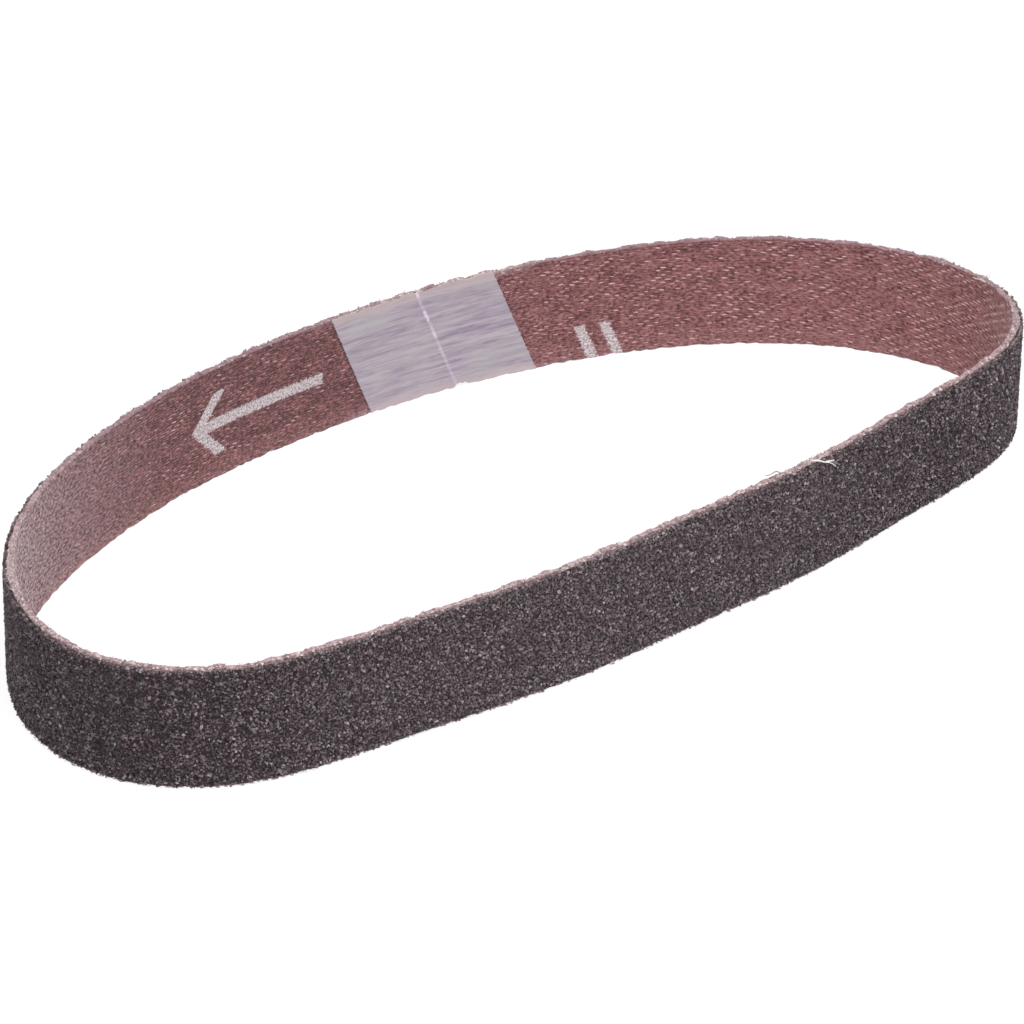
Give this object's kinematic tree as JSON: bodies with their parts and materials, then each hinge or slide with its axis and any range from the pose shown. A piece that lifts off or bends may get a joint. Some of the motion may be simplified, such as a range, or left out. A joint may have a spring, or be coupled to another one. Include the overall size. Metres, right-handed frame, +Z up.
{
  "type": "sanding belt",
  "caption": "Narrow cloth-backed sanding belt, grain on the outside, closed by a slanted butt joint under a splice tape, standing on its edge as a relaxed loop.",
  "frame": {"origin": "middle of the loop's bounding box, in the plane of the lower slit edge that it stands on", "axes": "+X along the loop's long way, -Y towards its flatter side, +Z up across the belt's width"},
  "size_m": [0.1266, 0.0588, 0.0127],
  "materials": {
    "cloth": "maroon resin-filled cotton twill, matte, with pale frayed slit edges",
    "grain": "dark grey-brown coarse mineral grain bonded in resin, matte with small glints",
    "tape": "thin lavender-grey splice film with fine streaks along the belt, slight sheen"
  },
  "bodies": {
    "root": {"cloth_backing": "cloth", "abrasive_coat": "grain", "splice_tape": "tape"}
  },
  "joints": []
}
